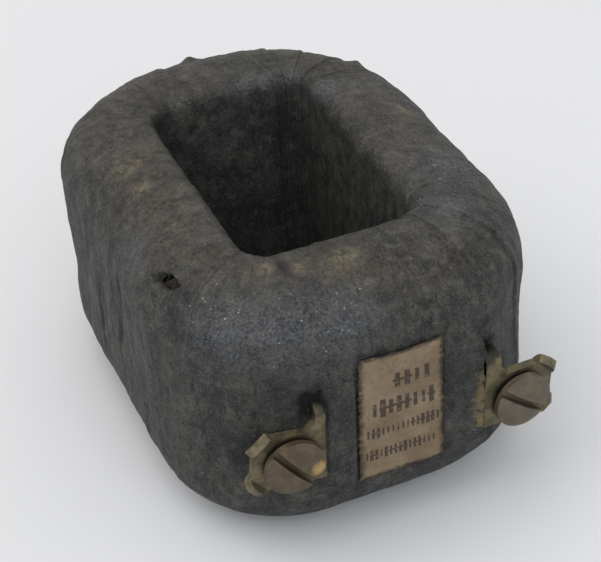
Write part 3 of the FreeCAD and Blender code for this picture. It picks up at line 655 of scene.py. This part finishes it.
def tear_threads():
    """Loose threads that cross the tear, as one curve."""
    middle, along, across, normal = tear_frame()
    curve = bpy.data.curves.new("tear_threads", "CURVE")
    curve.dimensions = "3D"
    curve.bevel_depth = 0.07 * MM
    curve.bevel_resolution = 1
    for place, lean, rise in THREADS:
        spline = curve.splines.new("POLY")
        spline.points.add(THREAD_POINTS - 1)
        for index, point in enumerate(spline.points):
            share = index / (THREAD_POINTS - 1) * 2 - 1
            at = middle + along * (place + lean * share) + across * (share * 1.15)
            at += normal * (rise * (1 - share * share) - 0.25)
            point.co = (*(at * MM), 1.0)
    piece = bpy.data.objects.new("tear_threads", curve)
    bpy.context.collection.objects.link(piece)
    return piece


def spread(points, places):
    """Sum of soft spots, each a place in millimetres with its radius."""
    return sum(near(points, place, radius) for place, radius in places)


def spread_lines(points, lines):
    """Sum of soft lines, each from one place to another with its half width."""
    total = np.zeros(points.shape[:-1])
    for first, last, width in lines:
        first, last = np.array(first), np.array(last)
        run = last - first
        share = np.clip((points - first) @ run / (run @ run), 0, 1)
        gap = np.linalg.norm(points - first - share[..., None] * run, axis=-1)
        gap = gap + 0.25 * np.sin(share * 23.0 + first[1])
        ends = smooth(share, 0.0, 0.15) * (1 - smooth(share, 0.8, 1.0))
        total += np.exp(-((gap / width) ** 2)) * ends
    return np.clip(total, 0, 1)


def tape_wear(points):
    """Tan rubbed places on the near rim and the left of the top, and a dark bar across the first."""
    wear = spread(points, WEAR_SPOTS)
    bar = near(points * np.array([1, 0.3, 1]), (-10.4, -27.1 * 0.3, 45), 0.75)
    ragged = field(points, 0.8, 3, 9.0) * 0.6
    return np.clip(wear + ragged * wear - 1.3 * bar, 0, 1) * 0.7, np.clip(bar * 1.2, 0, 1)


def tape_painted_sheen(points):
    """Painted cool sheen of the varnish on the rounded edges and on the window's far rim."""
    return np.clip(spread(points, PAINTED_SHEEN_SPOTS), 0, 1)


def tape_piece():
    """Whole wrap as one mesh: laps, wrinkles, welts over the plates, tear and knots."""
    inner, outer, at, around_length = ring_path(COLUMNS)
    length = np.linalg.norm(outer - inner, axis=1)
    way = (outer - inner) / length[:, None]
    places = []
    normals = []
    for column in range(COLUMNS):
        outline, normal = section(length[column])
        flat = inner[column] + outline[:, :1] * way[column]
        places.append(np.column_stack([flat, outline[:, 1]]))
        normals.append(np.column_stack([normal[:, :1] * way[column], normal[:, 1]]))
    points = np.array(places)
    normals = np.array(normals)
    samples = points.shape[1]
    gaps = np.linalg.norm(np.roll(points, -1, axis=1) - points, axis=2)
    run = np.cumsum(gaps, axis=1) - gaps
    upward = run / gaps.sum(axis=1)[:, None]
    around = np.broadcast_to((at / around_length)[:, None], upward.shape)
    inward = -(normals[..., 0] * way[:, None, 0] + normals[..., 1] * way[:, None, 1])
    inside = smooth(inward, 0.1, 0.9)
    front = smooth(-normals[..., 1], 0.5, 0.8) * (points[..., 1] < FRONT_Y + 4)
    relief, shade = lap_relief(points, around, upward, inside)
    stretched = np.stack([around * around_length * 0.9, upward * 14, np.zeros_like(upward)], axis=-1)
    wrinkle = field(stretched, 0.55, 3, 21.0) * WRINKLE * (1 - 0.4 * inside)
    lump = field(points, 0.055, 3, 2.0) * LUMP * (1 - 0.6 * inside)
    lump = lump + field(points, 0.3, 3, 4.0) * SMALL_LUMP
    x = points[..., 0]
    z = points[..., 2]
    flat_here = front * smooth(x, LABEL_X[0] - 1, LABEL_X[0])
    flat_here *= 1 - smooth(x, LABEL_X[1], LABEL_X[1] + 1)
    flat_here *= smooth(z, LABEL_Z[0] - 2, LABEL_Z[0]) * (1 - smooth(z, LABEL_Z[1], LABEL_Z[1] + 1.5))
    resting = smooth(-normals[..., 2], 0.2, 0.9)
    lift = (relief + wrinkle + lump) * (1 - flat_here) * (1 - resting) + LABEL_BED * flat_here
    raised = welt_relief(points, front)
    lift = np.where(raised > 0, np.maximum(lift, 0), lift) + raised
    hollow = hole_relief(points, front)
    lift -= HOLLOW * hollow
    lift += FLAP * near(points * np.array([1, 0, 1]), (17.2, 0, 29.2), 1.5) * front
    knob = near(points, (-1.0, 35.3, 43.2), 1.3)
    tab = near(points * np.array([1, 0.6, 1]), (24.4, 22.6 * 0.6, 43.2), 1.1)
    lift += KNOB * knob + TAB * tab
    crisp = 0.45 + 0.55 * smooth(points[..., 1], 8.0, 20.0)
    on_rim = np.clip(2 * inward * normals[..., 2], 0, 1) ** 2 * (z > HEIGHT - RIM)
    lift += RIM_CREASE * crisp * on_rim
    seams = spread_lines(points, SEAMS)
    lift -= (SEAM - SEAM_EASED_ON_WELT * (raised > 0)) * seams
    torn = tear_mask(points, 1.0)
    lift += TEAR_LIP * np.clip(tear_mask(points, 1.5) - torn, 0, 1) - TEAR_SINK * torn
    wear, bar = tape_wear(points)
    wear = np.clip(wear + 0.5 * spread_lines(points, BRIGHT_THREADS), 0, 1)
    # Painted shade along the lap edges, in the tang hollows, along the seams and in the tear, plus the
    # dark bar on the near rim
    dark = 0.75 * shade * (1 - 0.8 * inside) + hollow + bar * 0.8 + 0.7 * seams + 1.2 * torn
    # Painted shade round the terminals
    dark += 0.45 * spread(points, PAINTED_SHADE_SPOTS)
    # Painted shade on the inner walls of the window
    dark = np.clip(dark + 0.05 * smooth(inward, 0.3, 0.8), 0, 1)
    moved = points + normals * lift[..., None]
    cloth = np.stack([around * around_length, run], axis=-1)
    piece = grid_mesh("finish_tape_wrap", moved, cloth, tear_mask(points, 0.72) > 0.5)
    masks = {"tape_wear": wear, "tape_painted_shade_and_bar": dark, "tape_painted_sheen": tape_painted_sheen(points)}
    for name, values in masks.items():
        layer = piece.data.attributes.new(name, "FLOAT", "POINT")
        layer.data.foreach_set("value", values.astype(np.float32).ravel())
    return piece


def grid_mesh(name, points, cloth, skipped):
    """Mesh on a grid that closes both ways, without the faces whose first corner is skipped."""
    columns, samples = points.shape[:2]
    index = np.arange(columns * samples).reshape(columns, samples)
    onward = np.roll(index, -1, axis=0)
    faces = np.stack([index, onward, np.roll(onward, -1, axis=1), np.roll(index, -1, axis=1)], axis=-1)
    kept = ~skipped
    mesh = bpy.data.meshes.new(name)
    mesh.from_pydata((points.reshape(-1, 3) * MM).tolist(), [], faces[kept].reshape(-1, 4).tolist())
    columns_at = faces[kept] // samples
    rows_at = faces[kept] % samples
    u = cloth[columns_at, rows_at, 0]
    v = cloth[columns_at, rows_at, 1]
    u_end = cloth[-1, 0, 0] + cloth[1, 0, 0]
    u = np.where((columns_at == 0) & (columns_at.max(axis=-1, keepdims=True) == columns - 1), u_end, u)
    v_end = v[:, :1] + 0.7
    v = np.where((rows_at == 0) & (rows_at.max(axis=-1, keepdims=True) == samples - 1), v_end, v)
    layer = mesh.uv_layers.new(name="cloth")
    layer.data.foreach_set("uv", np.stack([u, v], axis=-1).astype(np.float32).ravel())
    mesh.shade_smooth()
    mesh.validate()
    piece = bpy.data.objects.new(name, mesh)
    bpy.context.collection.objects.link(piece)
    return piece


LABEL_COLUMNS = 60
LABEL_ROWS = 96
LABEL_THICKNESS = 0.14
LABEL_SPREAD = 0.6


def label_piece():
    """Thin label with a worn outline, a little wider at its foot, and a lifted top edge."""
    low, high = (np.array(corner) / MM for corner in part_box("label"))
    u, v = np.meshgrid(np.linspace(0, 1, LABEL_COLUMNS), np.linspace(0, 1, LABEL_ROWS), indexing="ij")
    jag = np.vectorize(lambda a, b: noise.noise(Vector((a * 9.0, b * 34.0, 2.0))))(u, v)
    x = low[0] + u * (high[0] - low[0]) + 0.35 * jag * (np.abs(u - 0.5) > 0.45)
    z = low[2] + v * (high[2] - low[2]) + 0.3 * jag * (np.abs(v - 0.5) > 0.47)
    z = z - 0.5 * np.sin(u * math.pi) * (v ** 6)
    curl = 0.25 * v ** 12 + 0.12 * jag * np.maximum(np.abs(u - 0.5) * 2, v) ** 8
    x = x + LABEL_SPREAD * u * (1 - v)
    y = low[1] - curl
    points = np.stack([x, y, z], axis=-1).reshape(-1, 3)
    mesh = bpy.data.meshes.new("label_sheet")
    index = np.arange(LABEL_COLUMNS * LABEL_ROWS).reshape(LABEL_COLUMNS, LABEL_ROWS)
    corners = [index[:-1, :-1], index[1:, :-1], index[1:, 1:], index[:-1, 1:]]
    faces = np.stack(corners, axis=-1).reshape(-1, 4)
    mesh.from_pydata((points * MM).tolist(), [], faces.tolist())
    layer = mesh.uv_layers.new(name="sheet")
    places = np.stack([u, v], axis=-1).reshape(-1, 2)
    layer.data.foreach_set("uv", places[faces.ravel()].astype(np.float32).ravel())
    mesh.shade_smooth()
    piece = bpy.data.objects.new("label_sheet", mesh)
    bpy.context.collection.objects.link(piece)
    solid = piece.modifiers.new("thickness", "SOLIDIFY")
    solid.thickness = LABEL_THICKNESS * MM
    solid.offset = -1.0
    return piece


def settle(piece, slot, *nodes):
    """Gives a piece its material, its place in the table and the CAD nodes it stands for."""
    piece.data.materials.append(MATERIALS[slot])
    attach(piece, "root")
    if nodes:
        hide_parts(*nodes)


FLOOR_SIZE = 6.0
FLOOR_GAP = 0.0001
KEY_POWER = 5.0
FILL_POWER = 2.2
ROOM_LIGHT = 0.72


def floor_material():
    """Pale paper floor, that the camera sees a little brighter than it lights the object."""
    n = Nodes("floor_paper")
    seen = n.add("ShaderNodeLightPath").outputs["Is Camera Ray"]
    n.finish(n.mix(seen, rgb(205, 206, 208), rgb(223, 222, 223)), 0.9, specular=0.1)
    return n.material


def make_stage():
    """Floor, and lights like a window's and a room's."""
    mesh = bpy.data.meshes.new("floor")
    half = FLOOR_SIZE / 2
    corners = [(-half, -half, 0), (half, -half, 0), (half, half, 0), (-half, half, 0)]
    mesh.from_pydata(corners, [], [(0, 1, 2, 3)])
    floor = bpy.data.objects.new("floor", mesh)
    floor.location.z = -FLOOR_GAP
    bpy.context.collection.objects.link(floor)
    mesh.materials.append(floor_material())
    add_light("key", (-0.36, 0.1, 0.95), 1.1, KEY_POWER, (1.0, 0.985, 0.965))
    add_light("fill", (-0.05, -0.8, 0.6), 0.7, FILL_POWER, (0.8, 0.92, 1.0))
    world = bpy.data.worlds.new("room")
    bpy.context.scene.world = world
    world.use_nodes = True
    background = world.node_tree.nodes["Background"]
    background.inputs["Color"].default_value = (0.97, 0.985, 1.0, 1.0)
    background.inputs["Strength"].default_value = ROOM_LIGHT


def add_light(name, place, size, power, colour):
    data = bpy.data.lights.new(name, "AREA")
    data.size = size
    data.energy = power
    data.color = colour
    lamp = bpy.data.objects.new(name, data)
    lamp.location = place
    lamp.rotation_euler = (-Vector(place)).to_track_quat("-Z", "Y").to_euler()
    bpy.context.collection.objects.link(lamp)


dress_nodes()
settle(tape_piece(), "cotton_tape", "finish_tape")
settle(label_piece(), "label_paper", "label")
settle(tear_threads(), "cotton_tape")
make_stage()
bpy.context.scene.view_settings.view_transform = "Standard"
